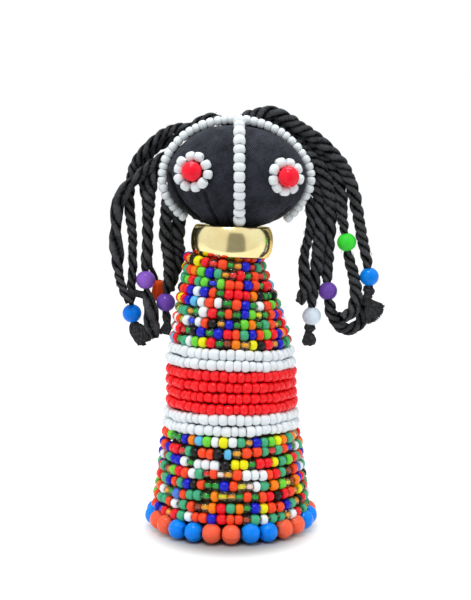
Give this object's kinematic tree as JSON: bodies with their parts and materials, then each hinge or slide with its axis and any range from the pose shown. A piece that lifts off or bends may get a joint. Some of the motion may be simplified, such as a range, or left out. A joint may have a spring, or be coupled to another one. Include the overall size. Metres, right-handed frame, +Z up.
{
  "type": "beaded doll",
  "caption": "Small standing doll: a cone body wound with rows of glass seed beads, a brass neck ring, a flat black cloth head with bead eyes, and hair of twisted cords",
  "frame": {"origin": "on the surface that the doll stands on, in the middle of its ring of foot beads", "axes": "+Z up through the cone body, the face looks along -Y, +X is to the right of a viewer who faces the doll"},
  "size_m": [0.083, 0.052, 0.1258],
  "materials": {
    "core_cloth": "dark plain woven cloth",
    "skirt_glass_beads": "glossy opaque and clear glass seed beads in mixed colours",
    "white_glass_beads": "glossy opaque white glass seed beads",
    "red_glass_beads": "glossy opaque red glass seed beads",
    "chest_glass_beads": "glossy opaque and clear glass seed beads in mixed colours",
    "foot_beads": "moulded round beads, orange and blue in pairs",
    "brass": "polished",
    "head_cloth": "fine black cloth drawn over stuffing",
    "eye_bead": "round red bead",
    "hair_cord": "black three-ply twisted cord",
    "blue_hair_bead": "round moulded bead",
    "purple_hair_bead": "round moulded bead",
    "orange_hair_bead": "faceted moulded bead",
    "white_hair_bead": "round moulded bead",
    "green_hair_bead": "round moulded bead"
  },
  "bodies": {
    "root": {"body_core": "core_cloth", "chest_row_1": "chest_glass_beads", "chest_row_2": "chest_glass_beads", "chest_row_3": "chest_glass_beads", "chest_row_4": "chest_glass_beads", "chest_row_5": "chest_glass_beads", "chest_row_6": "chest_glass_beads", "chest_row_7": "chest_glass_beads", "chest_row_8": "chest_glass_beads", "chest_row_9": "chest_glass_beads", "face_line": "white_glass_beads", "foot_ring": "foot_beads", "hair_bead_left_blue": "blue_hair_bead", "hair_bead_left_inner_purple": "purple_hair_bead", "hair_bead_left_orange": "orange_hair_bead", "hair_bead_left_purple": "purple_hair_bead", "hair_bead_right_blue": "blue_hair_bead", "hair_bead_right_green": "green_hair_bead", "hair_bead_right_purple": "purple_hair_bead", "hair_bead_right_white": "white_hair_bead", "hair_cord_left_1": "hair_cord", "hair_cord_left_2": "hair_cord", "hair_cord_left_3": "hair_cord", "hair_cord_left_4": "hair_cord", "hair_cord_left_5": "hair_cord", "hair_cord_left_6": "hair_cord", "hair_cord_right_1": "hair_cord", "hair_cord_right_2": "hair_cord", "hair_cord_right_3": "hair_cord", "hair_cord_right_4": "hair_cord", "hair_cord_right_5": "hair_cord", "hair_knot_left_blue": "hair_cord", "hair_knot_left_purple": "hair_cord", "hair_knot_right_white": "hair_cord", "hair_tassel_right": "hair_cord", "head": "head_cloth", "left_eye_bead": "eye_bead", "left_eye_petals": "white_glass_beads", "lower_white_row_1": "white_glass_beads", "lower_white_row_2": "white_glass_beads", "neck_ring": "brass", "neck_row": "chest_glass_beads", "red_row_1": "red_glass_beads", "red_row_2": "red_glass_beads", "red_row_3": "red_glass_beads", "red_row_4": "red_glass_beads", "right_eye_bead": "eye_bead", "right_eye_petals": "white_glass_beads", "rim_beads": "white_glass_beads", "skirt_row_1": "skirt_glass_beads", "skirt_row_2": "skirt_glass_beads", "skirt_row_3": "skirt_glass_beads", "skirt_row_4": "skirt_glass_beads", "skirt_row_5": "skirt_glass_beads", "skirt_row_6": "skirt_glass_beads", "skirt_row_7": "skirt_glass_beads", "skirt_row_8": "skirt_glass_beads", "upper_white_row_1": "white_glass_beads", "upper_white_row_2": "white_glass_beads"}
  },
  "joints": []
}
